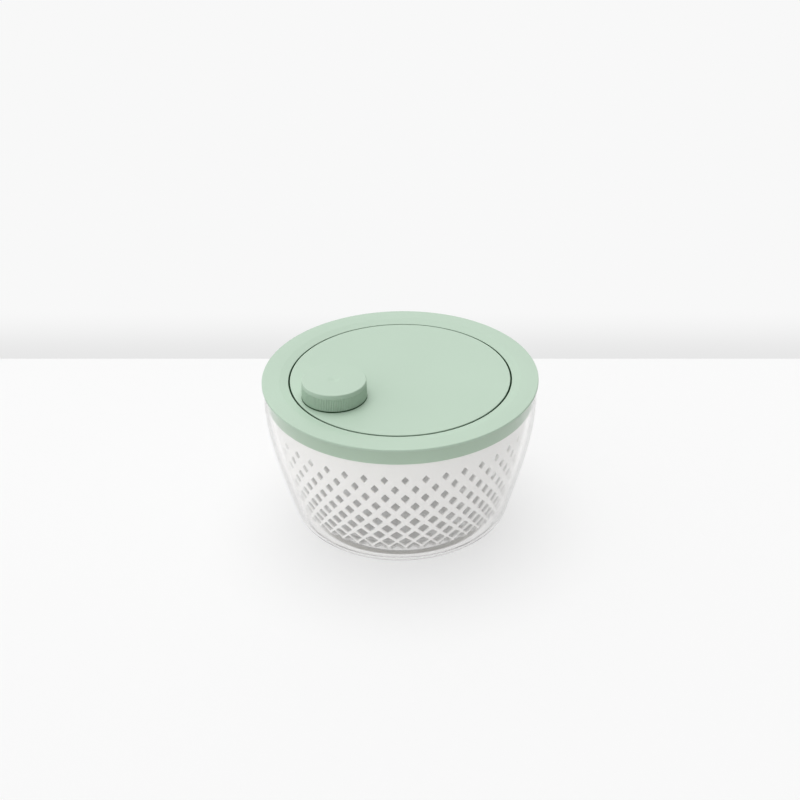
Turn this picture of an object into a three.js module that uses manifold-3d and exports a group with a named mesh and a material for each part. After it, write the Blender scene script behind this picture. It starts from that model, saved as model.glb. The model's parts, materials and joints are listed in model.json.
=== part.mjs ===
// Salad spinner: a clear bowl, a white lattice basket that turns on a pivot in the bowl's floor, and a
// green lid whose whole inner disc is the crank. A free-turning knob stands on the disc; under it an
// epicyclic gear train (fixed ring gear, three planets, sun) turns the drive plate four times per turn.
// Millimetres, +Z up, origin at the centre of the face the bowl stands on.
import * as THREE from "three";
import { mergeVertices } from "three/addons/utils/BufferGeometryUtils.js";
import Module from "manifold-3d";

const wasm = await Module();
wasm.setup();

// ---------- driving dimensions ----------
const GAP = 0.3; // between pieces that touch
const THIRD = (2 * Math.PI) / 3;

const LID_R = 130; // flange, the widest circle of the object
const FLANGE_TOP = 146.2;
const FLANGE_BOTTOM = 143.7;
const FLANGE_EDGE_R = 0.8; // of its top edge
const TOP_WALL = 2.2;
const SKIRT_R = 125;
const SKIRT_WALL = 2;
const SKIRT_BOTTOM = 128.1;
const WELL_R = 105.1; // opening that the crank disc turns in
const WELL_WALL = 2.2;
const WELL_SLOPE_R = 112; // the ring's top slopes down from here to the well
const WELL_EDGE_Z = 144.9;
const LIP_R = 103.8; // inward lip over the crank disc's bead
const LIP_TOP = 140.4;
const LIP_BOTTOM = 139;

const BOWL_TOP = FLANGE_BOTTOM - GAP;
const BOWL_WALL = 2.5;
const BOWL_FLOOR = 4.6;
const BOWL_UNDERSIDE = 1;
const BOWL_CORNER_R = 17;
const BOWL_BASE_R = 87.3;
const BOWL_BASE_Z = 0.6;
const FOOT = { inner: 79, outer: 85.5, height: 2.3 };
// Radius and height up the bowl's outside.
const BOWL_SIDE = [
  [109.6, 35],
  [116, 55],
  [123.4, 85],
  [127.5, 115],
];
const BOWL_RIM = { inner: 126.1, outer: 127.3, wall: 128 };
const PIVOT = { flange: 10, flangeTop: 7.4, radius: 4, top: 20.6 };

const BASKET_TOP = 134;
const BASKET_TOP_R = 121.2;
const BASKET_TAPER = 0.006; // the wall falls inwards by TAPER * depth ^ POWER
const BASKET_POWER = 1.75;
const BASKET_WALL = 2.3;
const BASKET_TURN_Z = 18.6; // where the wall turns under
const BASKET_UNDERSIDE = 16.8;
const BASKET_FLOOR = 19.2;
const COLUMNS = 40;
const ROWS = 9;
const FIRST_ROW_Z = 107.2;
const ROW_PITCH = 10.75; // at the first row; it shrinks with the radius
const LATTICE_TOP_Z = 115;
const HOLE_PHASE = THREE.MathUtils.degToRad(-88.5);
const DRIVE_RIBS = 8;
const RIB = { inner: 114.8, width: 3, low: 116, high: 131 };

const HUB_PLATE_R = 31;
const HUB = { bore: 8.1, outer: 11.5, low: 14, roof: 24, dome: 10.4, domeTop: 25.4 };
const BUSH_LOW = 11.7;
const DRAIN = { slots: 16, inner: 38, outer: 84, width: 7 };

const DISC_R = 103.5;
const DISC_TOP = 145.2;
const DISC_WALL = 2.3;
const DISC_UNDERSIDE = DISC_TOP - DISC_WALL;
const BEAD = { radius: 104.5, low: 136.8, high: 138.4 };

const KNOB_ANGLE = THREE.MathUtils.degToRad(208.1);
const KNOB_ORBIT = 69.2; // from the lid's axis to the knob's
const KNOB_R = 30.4;
const KNOB_BOTTOM = 146.1;
const KNOB_TOP = 163.2;
const KNOB_WALL = 2.2;
const KNOB_RIBS = 36;
const KNOB_RIB_TOP = 159;
const KNOB_EDGE_R = 0.9;
const KNOB_CORE = { bore: 5.4, hub: 8.2, plate: 26.6, low: 147.2, high: 154.8 };
const SPINDLE = { radius: 5, flange: 9, low: 140.6, top: 155.5, pilot: 1.7, pilotLow: 146.4 };
const KNOB_WASHER = { bore: 1.8, radius: 7.4, height: 1 };
const KNOB_SCREW = { head: 3.4, height: 1.7, shank: 1.4, tip: 147 };

const HOUSING_FLOOR = 131.3;
const HOUSING_WALL = 2;
const HOUSING_STEP = { radius: 97, top: 133.6 }; // the floor is raised outside this
const HOUSING_R = 107.2;
const HOUSING_TOP = 138.7;
const HOUSING_FLANGE_R = 119.8;
const GLIDE = { inner: 99.5, outer: 104.3 }; // the ring that the crank disc slides on
const BEARING = { bore: 6.9, outer: 9, low: 127.6, flange: 12 };
const LID_SCREW = { count: 4, orbit: 113.5, head: 3.2, shank: 1.4, low: 134.9, tip: 143 };
const LID_BOSS = { radius: 3.6, hole: 1.7, top: 143.2 };

const GEAR_MODULE = 2;
const RING_TEETH = 54;
const PLANET_TEETH = 18;
const SUN_TEETH = 18;
const PRESSURE_ANGLE = THREE.MathUtils.degToRad(20);
const BACKLASH = 0.5; // along the pitch circle, shared by the two gears of a mesh
const PLANET_ORBIT = (GEAR_MODULE * (SUN_TEETH + PLANET_TEETH)) / 2;
const PLANET_ANGLE = KNOB_ANGLE + THIRD / 2;
const GEAR_LOW = 133.9;
const GEAR_HIGH = 138.9;
const RING_OUTER_R = 59;
const RING_TOP = 138.8;
const RING_LUG = { radius: 4.2, height: 2, root: RING_OUTER_R - 1.5 };
const RING_SCREW = { orbit: 63, hole: 1.7, shank: 1.4, head: 2.9, height: 1.6, tip: 127.6 };
const RING_BOSS = { radius: 3.6, low: 126.3, holeLow: 127.2 };
const ADDENDUM = 0.9 * GEAR_MODULE;
const DEDENDUM = 1.15 * GEAR_MODULE;
const CARRIER = { radius: 48, low: 139.3, high: 141.3, centre: 8 };
const CARRIER_SCREW = { orbit: 42, boss: 3.6, hole: 1.7, shank: 1.4, head: 3, low: 137.4, tip: 144.1 };
const PLANET_PIN = { radius: 2, head: 4.2, low: 132.2, headHigh: 133.6 };

const DRIVE = { radius: 117.2, low: 122.5, high: 125, rim: 119.5 };
const NOTCH_WIDTH = RIB.width + 1.4; // where a rib of the basket reaches into the plate
const NOTCH_INNER = RIB.inner - 0.6;
const SHAFT_R = 6.5;
const SHAFT_BORE = 2.5;
const DRIVE_SCREW = { head: 4.5, low: 119.4, shank: 2.1, tip: 133 };
const DRIVE_WASHER = { radius: 7, height: 1 };

// ---------- materials ----------
const plastic = (color, roughness, more = {}) =>
  new THREE.MeshStandardMaterial({ color, roughness, metalness: 0, ...more });
const MATERIALS = {
  green: plastic(0xc2d7c4, 0.55),
  clear: plastic(0xf2f6f6, 0.05, { transparent: true, opacity: 0.25 }),
  white: plastic(0xebebe9, 0.5),
  natural: plastic(0xe4e0d4, 0.45),
  rubber: plastic(0xc9cccb, 0.8),
  steel: new THREE.MeshStandardMaterial({ color: 0xb9bcc0, roughness: 0.3, metalness: 1 }),
};

// ---------- solids and booleans ----------
function solid(geometry) {
  const bare = geometry.clone();
  bare.deleteAttribute("normal");
  bare.deleteAttribute("uv");
  const merged = mergeVertices(bare, 1e-4);
  return new wasm.Manifold(
    new wasm.Mesh({
      numProp: 3,
      vertProperties: new Float32Array(merged.attributes.position.array),
      triVerts: new Uint32Array(merged.index.array),
    }),
  );
}

function geometryOf(body) {
  const mesh = body.getMesh();
  const geometry = new THREE.BufferGeometry();
  geometry.setAttribute("position", new THREE.BufferAttribute(mesh.vertProperties, 3));
  geometry.setIndex(new THREE.BufferAttribute(mesh.triVerts, 1));
  geometry.computeVertexNormals();
  return geometry;
}

const join = (bodies) => bodies.reduce((whole, body) => whole.add(body));
const cut = (body, tools) => tools.reduce((left, tool) => left.subtract(tool), body);

// ---------- shapes ----------
const at = (r, z) => new THREE.Vector2(r, z);
const polar = (r, angle) => at(r * Math.cos(angle), r * Math.sin(angle));
const around = (count, make, phase = 0) =>
  Array.from({ length: count }, (_, i) => make(phase + (2 * Math.PI * i) / count, i));

// A closed outline of (radius, height) points, listed bottom, outside, top, inside, turned about Z.
function turned(outline, sides, x = 0, y = 0) {
  const closed = outline[0].x === 0 ? outline : [...outline, outline[0]];
  return solid(new THREE.LatheGeometry(closed, sides).rotateX(Math.PI / 2).translate(x, y, 0));
}

// A ring or, with inner 0, a disc between two heights.
function ring(inner, outer, low, high, sides, x = 0, y = 0) {
  const outline = [at(inner, low), at(outer, low), at(outer, high), at(inner, high)];
  return turned(outline, sides, x, y);
}

function raised(points, low, high, holes = []) {
  const shape = new THREE.Shape(points);
  shape.holes = holes.map((hole) => new THREE.Path(hole));
  const geometry = new THREE.ExtrudeGeometry(shape, { depth: high - low, bevelEnabled: false });
  return solid(geometry.translate(0, 0, low));
}

const circle = (r, sides, x = 0, y = 0, phase = 0) =>
  around(sides, (angle) => polar(r, angle).add(at(x, y)), phase);

const arc = (cx, cz, r, from, to, steps) =>
  Array.from({ length: steps + 1 }, (_, i) =>
    polar(r, THREE.MathUtils.degToRad(from + ((to - from) * i) / steps)).add(at(cx, cz)),
  );

function block(width, depth, low, high, r, angle) {
  const geometry = new THREE.BoxGeometry(depth, width, high - low);
  return solid(geometry.translate(r, 0, (low + high) / 2).rotateZ(angle));
}

// A screw whose head lies between two heights. Its shank runs up or down from there to the tip.
function screw({ head, shank, tip }, low, high, { x, y }) {
  const up = tip > high;
  const cap = ring(0, head, low, high, 10, x, y);
  const pin = up ? ring(0, shank, high - 0.5, tip, 6, x, y) : ring(0, shank, tip, low + 0.5, 6, x, y);
  const slot = new THREE.BoxGeometry(head * 1.2, head * 0.3, 1.2).translate(x, y, up ? low : high);
  return cap.add(pin).subtract(solid(slot));
}

// ---------- where the repeated pieces stand ----------
const KNOB_AXIS = polar(KNOB_ORBIT, KNOB_ANGLE);
const lidScrewAt = around(LID_SCREW.count, (angle) => polar(LID_SCREW.orbit, angle), Math.PI / 4);
const ringScrewAt = around(3, (angle) => polar(RING_SCREW.orbit, angle), PLANET_ANGLE);
const carrierScrewAt = around(3, (angle) => polar(CARRIER_SCREW.orbit, angle), KNOB_ANGLE);
const planetAt = around(3, (angle) => polar(PLANET_ORBIT, angle), PLANET_ANGLE);

// ---------- the gears' teeth ----------
const involute = (angle) => Math.tan(angle) - angle;

// Half the angle that a tooth (or, in a ring gear, a space) spans at radius r.
function halfTooth(teeth, r, play) {
  const pitchR = (GEAR_MODULE * teeth) / 2;
  const baseR = pitchR * Math.cos(PRESSURE_ANGLE);
  const atPitch = Math.PI / (2 * teeth) + play / (4 * pitchR);
  const flank = involute(Math.acos(Math.min(1, baseR / r)));
  return atPitch + involute(PRESSURE_ANGLE) - flank;
}

function gearOutline(teeth, innerR, outerR, play, phase) {
  const low = halfTooth(teeth, innerR, play);
  const high = halfTooth(teeth, outerR, play);
  return around(
    teeth,
    (angle) => [
      polar(innerR, angle - low),
      polar(outerR, angle - high),
      polar(outerR, angle + high),
      polar(innerR, angle + low),
    ],
    phase,
  ).flat();
}

function spurOutline(teeth, phase) {
  const pitchR = (GEAR_MODULE * teeth) / 2;
  return gearOutline(teeth, pitchR - DEDENDUM, pitchR + ADDENDUM, -BACKLASH, phase);
}

// ---------- bowl ----------
function bowlWall(inset) {
  const wall = new THREE.SplineCurve([
    at(BOWL_BASE_R + BOWL_CORNER_R * 0.97, 14),
    ...BOWL_SIDE.map(([r, z]) => at(r, z)),
    at(BOWL_RIM.wall, BOWL_TOP - 0.8),
  ]);
  return wall.getSpacedPoints(5).map((p) => at(p.x - inset, p.y));
}

function bowl() {
  const cornerZ = BOWL_BASE_Z + BOWL_CORNER_R;
  const corner = (r) => arc(BOWL_BASE_R, cornerZ, r, -90, -24, 3);
  const inside = corner(BOWL_CORNER_R + BOWL_BASE_Z - BOWL_FLOOR + 0.6).reverse(); // eased at the floor
  return turned(
    [
      at(0, BOWL_UNDERSIDE),
      at(FOOT.inner - GAP, BOWL_UNDERSIDE),
      at(FOOT.inner - GAP, FOOT.height + GAP),
      at(FOOT.outer + GAP, FOOT.height + GAP),
      at(FOOT.outer + GAP, BOWL_BASE_Z),
      ...corner(BOWL_CORNER_R),
      ...bowlWall(0),
      at(BOWL_RIM.outer, BOWL_TOP),
      at(BOWL_RIM.inner, BOWL_TOP),
      ...bowlWall(BOWL_WALL).reverse(),
      ...inside.slice(0, -1),
      at(BOWL_BASE_R, BOWL_FLOOR),
      at(0, BOWL_FLOOR),
    ],
    48,
  );
}

// The post that the basket turns on, fixed to the middle of the bowl's floor.
const pivotPost = () =>
  turned(
    [
      at(0, BOWL_FLOOR + GAP),
      at(PIVOT.flange, BOWL_FLOOR + GAP),
      at(PIVOT.flange, PIVOT.flangeTop),
      at(PIVOT.radius, PIVOT.flangeTop),
      at(PIVOT.radius, PIVOT.top - 1.5),
      at(0, PIVOT.top),
    ],
    16,
  );

const footRing = () => ring(FOOT.inner, FOOT.outer, 0, FOOT.height, 36);

// ---------- basket ----------
const basketR = (z) => BASKET_TOP_R - BASKET_TAPER * Math.pow(BASKET_TOP - z, BASKET_POWER);

// Rows of diamond holes, from the top down. The ribs between them narrow downwards.
function latticeRows() {
  const rows = [];
  let z = FIRST_ROW_Z;
  for (let j = 0; j < ROWS; j += 1) {
    const share = j / (ROWS - 1);
    const shrink = basketR(z) / basketR(FIRST_ROW_Z);
    rows.push({
      z,
      offset: j % 2 ? 0.5 : 0,
      halfStep: THREE.MathUtils.lerp(0.2, 0.4, Math.pow(share, 1.25)),
      halfHeight: ROW_PITCH * shrink * THREE.MathUtils.lerp(0.4, 0.65, share),
    });
    z -= ROW_PITCH * shrink;
  }
  return rows;
}

// The wall, rim and floor as one closed mesh. Every ring of corners is made twice, outside and inside.
function basketShell() {
  const corners = [];
  const faces = [];
  const corner = (step, z, r) => {
    const angle = HOLE_PHASE + (2 * Math.PI * step) / COLUMNS;
    corners.push(r * Math.cos(angle), r * Math.sin(angle), z);
    return corners.length / 3 - 1;
  };
  const quad = (a, b, c, d) => faces.push(a, b, c, a, c, d);
  const both = (step, z) => ({
    out: corner(step, z, basketR(z)),
    in: corner(step, z, basketR(z) - BASKET_WALL),
  });
  // Outer faces run anticlockwise seen from outside; inner faces are the same corners reversed.
  const skin = (...points) => {
    for (let i = 1; i + 1 < points.length; i += 1) {
      faces.push(points[0].out, points[i].out, points[i + 1].out);
      faces.push(points[0].in, points[i + 1].in, points[i].in);
    }
  };
  const edge = (a, b) => quad(a.out, b.out, b.in, a.in);
  const wrap = (list, i) => list[(i + COLUMNS) % COLUMNS];
  const ringOf = (offset, z) => Array.from({ length: COLUMNS }, (_, i) => both(i + offset, z));

  const top = ringOf(0.5, LATTICE_TOP_Z);
  const rows = latticeRows().map((row) => ({
    offset: row.offset,
    north: ringOf(row.offset, row.z + row.halfHeight),
    south: ringOf(row.offset, row.z - row.halfHeight),
    east: ringOf(row.offset + row.halfStep, row.z),
    west: ringOf(row.offset - row.halfStep, row.z),
  }));
  const bottom = ringOf(0.5, BASKET_TURN_Z);

  for (let i = 0; i < COLUMNS; i += 1) {
    rows.forEach((row, j) => {
      const left = i - (row.offset ? 0 : 1); // index in the next rows of the hole half a step to the left
      const above = rows[j - 1];
      const below = rows[j + 1];
      const [n, s, e, w] = [row.north[i], row.south[i], row.east[i], row.west[i]];
      const nextWest = wrap(row.west, i + 1);
      edge(n, w);
      edge(w, s);
      edge(s, e);
      edge(e, n);
      const overhead = above ? wrap(above.south, left + 1) : top[i];
      const underfoot = below ? wrap(below.north, left + 1) : bottom[i];
      skin(e, underfoot, nextWest, overhead);
      if (below) {
        skin(w, wrap(below.north, left), wrap(below.east, left), s);
        skin(e, s, wrap(below.west, left + 1), wrap(below.north, left + 1));
      } else {
        skin(w, wrap(bottom, i - 1), s);
        skin(s, wrap(bottom, i - 1), bottom[i]);
        skin(s, bottom[i], e);
      }
      if (!above) {
        skin(n, top[i], wrap(top, i - 1));
        skin(n, e, top[i]);
        skin(n, wrap(top, i - 1), w);
      }
    });
  }

  const plainRing = (z, r) => Array.from({ length: COLUMNS }, (_, i) => corner(i + 0.5, z, r));
  const rings = [
    top.map((p) => p.out),
    plainRing(BASKET_TOP, BASKET_TOP_R),
    plainRing(BASKET_TOP, BASKET_TOP_R - BASKET_WALL),
    top.map((p) => p.in),
  ];
  const turnR = basketR(BASKET_TURN_Z);
  const floor = [
    bottom.map((p) => p.in),
    plainRing(BASKET_FLOOR, turnR - BASKET_WALL - 2),
    plainRing(BASKET_FLOOR, HUB_PLATE_R - 1),
    plainRing(BASKET_UNDERSIDE, HUB_PLATE_R - 1),
    plainRing(BASKET_UNDERSIDE, turnR - 2.5),
    bottom.map((p) => p.out),
  ];
  for (const strip of [rings, floor])
    for (let k = 0; k + 1 < strip.length; k += 1)
      for (let i = 0; i < COLUMNS; i += 1) {
        const next = (i + 1) % COLUMNS;
        quad(strip[k][i], strip[k][next], strip[k + 1][next], strip[k + 1][i]);
      }

  const geometry = new THREE.BufferGeometry();
  geometry.setAttribute("position", new THREE.Float32BufferAttribute(corners, 3));
  geometry.setIndex(faces);
  return solid(geometry);
}

function basket() {
  const hub = turned(
    [
      at(0, HUB.roof),
      at(HUB.bore, HUB.roof),
      at(HUB.bore, HUB.low),
      at(HUB.outer, HUB.low),
      at(HUB.outer, BASKET_UNDERSIDE - 0.4),
      at(HUB_PLATE_R, BASKET_UNDERSIDE - 0.4),
      at(HUB_PLATE_R, BASKET_FLOOR + 0.2),
      at(HUB.dome, BASKET_FLOOR + 0.2),
      at(HUB.dome, HUB.domeTop - 0.8),
      at(HUB.dome - 0.8, HUB.domeTop),
      at(0, HUB.domeTop),
    ],
    24,
  );
  const ribs = around(DRIVE_RIBS, (angle) => {
    const depth = BASKET_TOP_R - BASKET_WALL + 0.4 - RIB.inner;
    return block(RIB.width, depth, RIB.low, RIB.high, RIB.inner + depth / 2, angle);
  });
  const slots = around(DRAIN.slots, (angle) => {
    const middle = (DRAIN.inner + DRAIN.outer) / 2;
    return block(DRAIN.width, DRAIN.outer - DRAIN.inner, 10, 30, middle, angle);
  });
  return cut(join([basketShell(), hub, ...ribs]), slots);
}

const basketBush = () =>
  turned(
    [
      at(PIVOT.radius + 0.5, BUSH_LOW),
      at(HUB.outer, BUSH_LOW),
      at(HUB.outer, HUB.low - GAP),
      at(HUB.bore - GAP, HUB.low - GAP),
      at(HUB.bore - GAP, HUB.roof - GAP),
      at(0, HUB.roof - GAP),
      at(0, PIVOT.top + GAP),
      at(PIVOT.radius + 0.5, PIVOT.top + GAP),
    ],
    16,
  );

// ---------- lid ----------
function lidRing() {
  const underTop = FLANGE_TOP - TOP_WALL;
  const edgeZ = FLANGE_TOP - FLANGE_EDGE_R;
  const body = turned(
    [
      at(LIP_R, LIP_BOTTOM),
      at(WELL_R + WELL_WALL, LIP_BOTTOM),
      at(WELL_R + WELL_WALL, underTop - 1),
      at(WELL_SLOPE_R, underTop),
      at(SKIRT_R - SKIRT_WALL, underTop),
      at(SKIRT_R - SKIRT_WALL, SKIRT_BOTTOM),
      at(SKIRT_R, SKIRT_BOTTOM),
      at(SKIRT_R, FLANGE_BOTTOM),
      at(LID_R, FLANGE_BOTTOM),
      ...arc(LID_R - FLANGE_EDGE_R, edgeZ, FLANGE_EDGE_R, 0, 90, 3),
      at(WELL_SLOPE_R, FLANGE_TOP),
      at(WELL_R, WELL_EDGE_Z),
      at(WELL_R, LIP_TOP),
      at(LIP_R, LIP_TOP - 0.4),
    ],
    48,
  );
  const bosses = lidScrewAt.map((p) =>
    ring(0, LID_BOSS.radius, LIP_BOTTOM, underTop + 0.5, 10, p.x, p.y),
  );
  const holes = lidScrewAt.map((p) =>
    ring(0, LID_BOSS.hole, LIP_BOTTOM - 1, LID_BOSS.top, 8, p.x, p.y),
  );
  return cut(join([body, ...bosses]), holes);
}

// The tub under the crank disc: it carries the ring gear, the glide ring and the centre bearing.
function gearHousing() {
  const floorLow = HOUSING_FLOOR - HOUSING_WALL;
  const body = turned(
    [
      at(BEARING.outer + GAP, floorLow),
      at(HOUSING_STEP.radius, floorLow),
      at(HOUSING_STEP.radius, HOUSING_STEP.top - HOUSING_WALL),
      at(HOUSING_R, HOUSING_STEP.top - HOUSING_WALL),
      at(HOUSING_R, HOUSING_TOP - HOUSING_WALL),
      at(HOUSING_FLANGE_R, HOUSING_TOP - HOUSING_WALL),
      at(HOUSING_FLANGE_R, HOUSING_TOP),
      at(HOUSING_R - HOUSING_WALL, HOUSING_TOP),
      at(HOUSING_R - HOUSING_WALL, HOUSING_STEP.top),
      at(HOUSING_STEP.radius - HOUSING_WALL, HOUSING_STEP.top),
      at(HOUSING_STEP.radius - HOUSING_WALL, HOUSING_FLOOR),
      at(BEARING.outer + GAP, HOUSING_FLOOR),
    ],
    36,
  );
  const bosses = ringScrewAt.map((p) =>
    ring(0, RING_BOSS.radius, RING_BOSS.low, HOUSING_FLOOR - 0.5, 8, p.x, p.y),
  );
  const holes = [
    ...lidScrewAt.map((p) => ring(0, LID_BOSS.hole, HOUSING_FLOOR, HOUSING_TOP + 1, 8, p.x, p.y)),
    ...ringScrewAt.map((p) =>
      ring(0, RING_SCREW.hole, RING_BOSS.holeLow, HOUSING_TOP, 8, p.x, p.y),
    ),
  ];
  return cut(join([body, ...bosses]), holes);
}

function ringGear() {
  const pitchR = (GEAR_MODULE * RING_TEETH) / 2;
  const teeth = gearOutline(RING_TEETH, pitchR - ADDENDUM, pitchR + DEDENDUM, BACKLASH, PLANET_ANGLE);
  const low = HOUSING_FLOOR + GAP;
  const body = raised(circle(RING_OUTER_R, 27, 0, 0, PLANET_ANGLE), low, RING_TOP, [teeth]);
  const high = low + RING_LUG.height;
  const reach = RING_SCREW.orbit - RING_LUG.root;
  const lugs = ringScrewAt.map((p, i) => {
    const bridge = block(
      2 * RING_LUG.radius,
      reach,
      low,
      high,
      RING_LUG.root + reach / 2,
      PLANET_ANGLE + i * THIRD,
    );
    return bridge.add(ring(0, RING_LUG.radius, low, high, 10, p.x, p.y));
  });
  const holes = ringScrewAt.map((p) => ring(0, RING_SCREW.hole, low - 1, high + 1, 8, p.x, p.y));
  return cut(join([body, ...lugs]), holes);
}

const centreBearing = () =>
  turned(
    [
      at(BEARING.bore, BEARING.low),
      at(BEARING.outer, BEARING.low),
      at(BEARING.outer, HOUSING_FLOOR + GAP),
      at(BEARING.flange, HOUSING_FLOOR + GAP),
      at(BEARING.flange, GEAR_LOW - GAP),
      at(BEARING.bore, GEAR_LOW - GAP),
    ],
    16,
  );

const glideRing = () => ring(GLIDE.inner, GLIDE.outer, HOUSING_STEP.top + GAP, BEAD.low - GAP, 36);

// ---------- crank disc and planet carrier ----------
function crankDisc() {
  const body = turned(
    [
      at(0, DISC_UNDERSIDE),
      at(DISC_R - 2, DISC_UNDERSIDE),
      at(DISC_R - 2, BEAD.low),
      at(BEAD.radius - 0.6, BEAD.low),
      at(BEAD.radius, BEAD.high - 0.3),
      at(DISC_R, BEAD.high),
      at(DISC_R, DISC_TOP - 0.8),
      at(DISC_R - 0.8, DISC_TOP),
      at(0, DISC_TOP),
    ],
    48,
  );
  const bosses = carrierScrewAt.map((p) =>
    ring(0, CARRIER_SCREW.boss, CARRIER.high + GAP, DISC_UNDERSIDE + 0.5, 10, p.x, p.y),
  );
  const holes = [
    ...carrierScrewAt.map((p) =>
      ring(0, CARRIER_SCREW.hole, CARRIER.high, CARRIER_SCREW.tip + GAP, 8, p.x, p.y),
    ),
    ring(0, SPINDLE.radius + GAP, CARRIER.high, DISC_TOP + 1, 20, KNOB_AXIS.x, KNOB_AXIS.y),
  ];
  return cut(join([body, ...bosses]), holes);
}

function planetCarrier() {
  const holes = [
    circle(CARRIER.centre, 16),
    ...carrierScrewAt.map((p) => circle(CARRIER_SCREW.hole, 8, p.x, p.y)),
    ...planetAt.map((p) => circle(PLANET_PIN.radius + GAP, 8, p.x, p.y)),
  ];
  return raised(circle(CARRIER.radius, 24), CARRIER.low, CARRIER.high, holes);
}

function planetPin({ x, y }) {
  return turned(
    [
      at(0, PLANET_PIN.low),
      at(PLANET_PIN.head, PLANET_PIN.low),
      at(PLANET_PIN.head, PLANET_PIN.headHigh),
      at(PLANET_PIN.radius, PLANET_PIN.headHigh),
      at(PLANET_PIN.radius, CARRIER.high),
      at(0, CARRIER.high),
    ],
    8,
    x,
    y,
  );
}

function planetGear({ x, y }, angle) {
  const bore = circle(PLANET_PIN.radius + GAP, 8);
  return raised(spurOutline(PLANET_TEETH, angle), GEAR_LOW, GEAR_HIGH, [bore]).translate([x, y, 0]);
}

// ---------- knob ----------
function knobCap() {
  const inner = KNOB_R - KNOB_WALL;
  const roof = KNOB_TOP - 2.4;
  const smooth = turned(
    [
      at(inner, KNOB_RIB_TOP - 0.6),
      at(KNOB_R - 1, KNOB_RIB_TOP - 0.6),
      at(KNOB_R - 0.4, KNOB_RIB_TOP),
      ...arc(KNOB_R - 0.5 - KNOB_EDGE_R, KNOB_TOP - KNOB_EDGE_R, KNOB_EDGE_R, 0, 90, 2),
      at(6.6, KNOB_TOP),
      at(3, KNOB_TOP - 0.8),
      at(0, KNOB_TOP - 0.8),
      at(0, roof),
      at(inner, roof),
    ],
    36,
  );
  const ribs = around(KNOB_RIBS, (angle) => [
    polar(KNOB_R, angle),
    polar(KNOB_R - 0.7, angle + Math.PI / KNOB_RIBS),
  ]).flat();
  const grip = raised(ribs, KNOB_BOTTOM, KNOB_RIB_TOP, [circle(inner, 36)]);
  return smooth.add(grip).translate([KNOB_AXIS.x, KNOB_AXIS.y, 0]);
}

const knobCore = () =>
  turned(
    [
      at(KNOB_CORE.bore, KNOB_CORE.low),
      at(KNOB_CORE.plate, KNOB_CORE.low),
      at(KNOB_CORE.plate, KNOB_CORE.low + 2),
      at(KNOB_CORE.hub, KNOB_CORE.low + 2),
      at(KNOB_CORE.hub, KNOB_CORE.high),
      at(KNOB_CORE.bore, KNOB_CORE.high),
    ],
    20,
    KNOB_AXIS.x,
    KNOB_AXIS.y,
  );

const knobSpindle = () =>
  turned(
    [
      at(0, SPINDLE.low),
      at(SPINDLE.flange, SPINDLE.low),
      at(SPINDLE.flange, DISC_UNDERSIDE - GAP),
      at(SPINDLE.radius, DISC_UNDERSIDE - GAP),
      at(SPINDLE.radius, SPINDLE.top),
      at(SPINDLE.pilot, SPINDLE.top),
      at(SPINDLE.pilot, SPINDLE.pilotLow),
      at(0, SPINDLE.pilotLow),
    ],
    12,
    KNOB_AXIS.x,
    KNOB_AXIS.y,
  );

function knobWasher() {
  const low = SPINDLE.top + GAP;
  const { x, y } = KNOB_AXIS;
  return ring(KNOB_WASHER.bore, KNOB_WASHER.radius, low, low + KNOB_WASHER.height, 12, x, y);
}

function knobScrew() {
  const low = SPINDLE.top + KNOB_WASHER.height + 2 * GAP;
  return screw(KNOB_SCREW, low, low + KNOB_SCREW.height, KNOB_AXIS);
}

// ---------- drive ----------
function sunGear() {
  const teeth = raised(spurOutline(SUN_TEETH, PLANET_ANGLE + Math.PI / SUN_TEETH), GEAR_LOW, GEAR_HIGH);
  const shaft = ring(0, SHAFT_R, DRIVE.high + GAP, GEAR_LOW + 1, 20);
  return teeth.add(shaft).subtract(ring(0, SHAFT_BORE, DRIVE.high - 1, GEAR_LOW, 12));
}

function drivePlate() {
  const body = turned(
    [
      at(SHAFT_BORE, DRIVE.low),
      at(DRIVE.radius - 2, DRIVE.low),
      at(DRIVE.radius - 2, DRIVE.rim),
      at(DRIVE.radius, DRIVE.rim),
      at(DRIVE.radius, DRIVE.high),
      at(SHAFT_BORE, DRIVE.high),
    ],
    36,
  );
  const notchDepth = DRIVE.radius + 1 - NOTCH_INNER;
  const notches = around(DRIVE_RIBS, (angle) =>
    block(NOTCH_WIDTH, notchDepth, DRIVE.rim - 1, DRIVE.high + 1, NOTCH_INNER + notchDepth / 2, angle),
  );
  return cut(body, notches);
}

const washerHigh = DRIVE.low - GAP;
const washerLow = washerHigh - DRIVE_WASHER.height;
const driveWasher = () => ring(SHAFT_BORE, DRIVE_WASHER.radius, washerLow, washerHigh, 12);
const driveScrew = () => screw(DRIVE_SCREW, DRIVE_SCREW.low, washerLow - GAP, at(0, 0));

// ---------- assembly ----------
function group(name, pieces) {
  const made = new THREE.Group();
  made.name = name;
  for (const [node, material, body] of pieces) {
    const mesh = new THREE.Mesh(geometryOf(body), MATERIALS[material].clone());
    mesh.name = node;
    made.add(mesh);
  }
  return made;
}

const numbered = (name, material, places, make) =>
  places.map((place, i) => [`${name}_${i + 1}`, material, make(place, i)]);

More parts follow.
